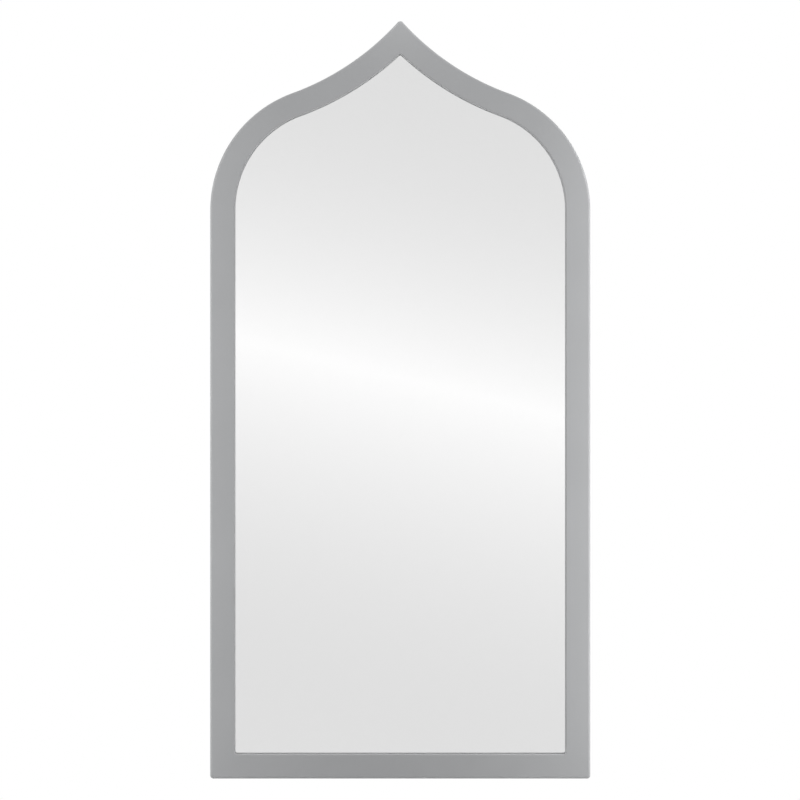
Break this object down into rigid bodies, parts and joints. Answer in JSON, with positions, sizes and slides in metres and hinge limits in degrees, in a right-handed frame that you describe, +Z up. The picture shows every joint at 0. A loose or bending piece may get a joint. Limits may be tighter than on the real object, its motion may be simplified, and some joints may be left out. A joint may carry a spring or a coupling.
{
  "type": "arched mirror",
  "caption": "Tall wall mirror with a pointed ogee-arched top and a flat satin silver frame, its pane held by turn buttons and hung from swinging D-rings.",
  "frame": {"origin": "on the wall plane, midway between the two hooks that carry the hanger rings", "axes": "+Z up, +Y from the mirror into the wall, so the glass faces -Y, and +X to the right of someone looking in the mirror"},
  "size_m": [0.61, 0.0214, 1.2156],
  "materials": {
    "frame_paint": "satin silver paint on MDF",
    "dowel_wood": "plain beech",
    "pane_glass": "polished float glass",
    "silvering": "silver under a grey protective coat",
    "liner_card": "fine corrugated card",
    "hardboard": "smooth brown hardboard",
    "spacer_plastic": "moulded",
    "zinc_plate": "bright zinc plate",
    "bumper_rubber": "moulded"
  },
  "bodies": {
    "frame": {"bottom_rail": "frame_paint", "left_stile": "frame_paint", "left_arch": "frame_paint", "right_stile": "frame_paint", "right_arch": "frame_paint", "left_mitre_dowels": "dowel_wood", "left_spring_dowels": "dowel_wood", "right_mitre_dowels": "dowel_wood", "right_spring_dowels": "dowel_wood", "apex_dowels": "dowel_wood", "mirror_glass": "pane_glass", "silver_backing": "silvering", "card_liner": "liner_card", "backing_board": "hardboard", "edge_spacers": "spacer_plastic", "setting_blocks": "spacer_plastic", "turn_button_screws": "zinc_plate", "left_hanger_strap": "zinc_plate", "right_hanger_strap": "zinc_plate", "hanger_screws": "zinc_plate", "wall_bumpers": "bumper_rubber"},
    "turn_button_right_bottom": {"turn_button_right_bottom": "zinc_plate"},
    "turn_button_left_bottom": {"turn_button_left_bottom": "zinc_plate"},
    "turn_button_right_shoulder": {"turn_button_right_shoulder": "zinc_plate"},
    "turn_button_left_shoulder": {"turn_button_left_shoulder": "zinc_plate"},
    "turn_button_right_ogee": {"turn_button_right_ogee": "zinc_plate"},
    "turn_button_left_ogee": {"turn_button_left_ogee": "zinc_plate"},
    "turn_button_right_low": {"turn_button_right_low": "zinc_plate"},
    "turn_button_left_low": {"turn_button_left_low": "zinc_plate"},
    "turn_button_right_middle": {"turn_button_right_middle": "zinc_plate"},
    "turn_button_left_middle": {"turn_button_left_middle": "zinc_plate"},
    "turn_button_right_high": {"turn_button_right_high": "zinc_plate"},
    "turn_button_left_high": {"turn_button_left_high": "zinc_plate"},
    "left_ring": {"left_hanger_ring": "zinc_plate"},
    "right_ring": {"right_hanger_ring": "zinc_plate"}
  },
  "joints": [
    {"name": "right_bottom_button_turn", "type": "hinge", "parent": "frame", "child": "turn_button_right_bottom", "pos_m": [0.1525, -0.0055, -0.8485], "axis": [0, 1, 0], "continuous": true},
    {"name": "left_bottom_button_turn", "type": "hinge", "parent": "frame", "child": "turn_button_left_bottom", "pos_m": [-0.1525, -0.0055, -0.8485], "axis": [0, 1, 0], "continuous": true},
    {"name": "right_shoulder_button_turn", "type": "hinge", "parent": "frame", "child": "turn_button_right_shoulder", "pos_m": [0.24469, -0.0055, 0.1542], "axis": [0, 1, 0], "continuous": true},
    {"name": "left_shoulder_button_turn", "type": "hinge", "parent": "frame", "child": "turn_button_left_shoulder", "pos_m": [-0.24469, -0.0055, 0.1542], "axis": [0, 1, 0], "continuous": true},
    {"name": "right_ogee_button_turn", "type": "hinge", "parent": "frame", "child": "turn_button_right_ogee", "pos_m": [0.07704, -0.0055, 0.25497], "axis": [0, 1, 0], "continuous": true},
    {"name": "left_ogee_button_turn", "type": "hinge", "parent": "frame", "child": "turn_button_left_ogee", "pos_m": [-0.07704, -0.0055, 0.25497], "axis": [0, 1, 0], "continuous": true},
    {"name": "right_low_button_turn", "type": "hinge", "parent": "frame", "child": "turn_button_right_low", "pos_m": [0.2835, -0.0055, -0.72563], "axis": [0, 1, 0], "continuous": true},
    {"name": "left_low_button_turn", "type": "hinge", "parent": "frame", "child": "turn_button_left_low", "pos_m": [-0.2835, -0.0055, -0.72563], "axis": [0, 1, 0], "continuous": true},
    {"name": "right_middle_button_turn", "type": "hinge", "parent": "frame", "child": "turn_button_right_middle", "pos_m": [0.2835, -0.0055, -0.40355], "axis": [0, 1, 0], "continuous": true},
    {"name": "left_middle_button_turn", "type": "hinge", "parent": "frame", "child": "turn_button_left_middle", "pos_m": [-0.2835, -0.0055, -0.40355], "axis": [0, 1, 0], "continuous": true},
    {"name": "right_high_button_turn", "type": "hinge", "parent": "frame", "child": "turn_button_right_high", "pos_m": [0.2835, -0.0055, -0.08146], "axis": [0, 1, 0], "continuous": true},
    {"name": "left_high_button_turn", "type": "hinge", "parent": "frame", "child": "turn_button_left_high", "pos_m": [-0.2835, -0.0055, -0.08146], "axis": [0, 1, 0], "continuous": true},
    {"name": "left_ring_swing", "type": "hinge", "parent": "frame", "child": "left_ring", "pos_m": [-0.29025, -0.00345, -0.01246], "axis": [-1, 0, 0], "range_deg": [0, 178]},
    {"name": "right_ring_swing", "type": "hinge", "parent": "frame", "child": "right_ring", "pos_m": [0.29025, -0.00345, -0.01246], "axis": [-1, 0, 0], "range_deg": [0, 178]}
  ]
}
